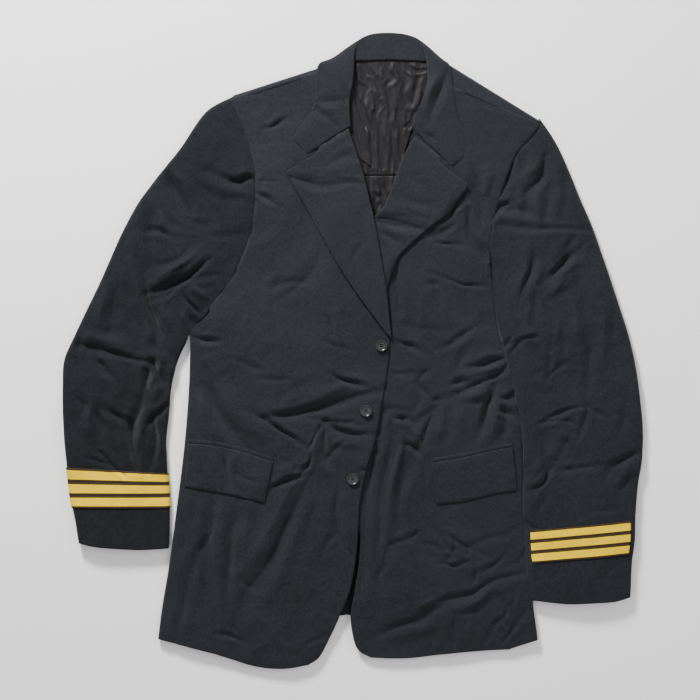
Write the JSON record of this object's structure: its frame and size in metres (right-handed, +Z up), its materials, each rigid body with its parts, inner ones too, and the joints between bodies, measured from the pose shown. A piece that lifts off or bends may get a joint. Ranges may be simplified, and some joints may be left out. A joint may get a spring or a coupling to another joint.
{
  "type": "pilot uniform jacket",
  "caption": "Single-breasted uniform jacket laid flat on its back: notch lapels, three-button front, flapped hip pockets and gold-braided cuffs.",
  "frame": {"origin": "middle of the jacket's box, on the surface that it lies on", "axes": "+Z up, away from the surface; +Y from the hem to the collar; +X to the wearer's left"},
  "size_m": [0.7844, 0.8603, 0.0193],
  "materials": {
    "wool": "charcoal-black wool gabardine, fine twill, matt with a slight sheen on the folds",
    "satin_lining": "dark satin lining, crumpled, soft highlights",
    "gold_braid": "gold braid with dark edges",
    "button": "dark four-hole plastic, semi-gloss"
  },
  "bodies": {
    "root": {"front_right": "wool", "front_left": "wool", "back_right": "wool", "back_left": "wool", "side_right": "wool", "side_left": "wool", "lapel_right": "wool", "lapel_left": "wool", "collar": "wool", "sleeve_right_top": "wool", "sleeve_right_under": "wool", "sleeve_left_top": "wool", "sleeve_left_under": "wool", "flap_right": "wool", "flap_left": "wool", "welt_right": "wool", "welt_left": "wool", "lining_back_upper": "satin_lining", "lining_back_lower": "satin_lining", "lining_front_right": "satin_lining", "braid_right_1": "gold_braid", "braid_right_2": "gold_braid", "braid_right_3": "gold_braid", "braid_left_1": "gold_braid", "braid_left_2": "gold_braid", "braid_left_3": "gold_braid", "button_1": "button", "button_2": "button", "button_3": "button"}
  },
  "joints": []
}
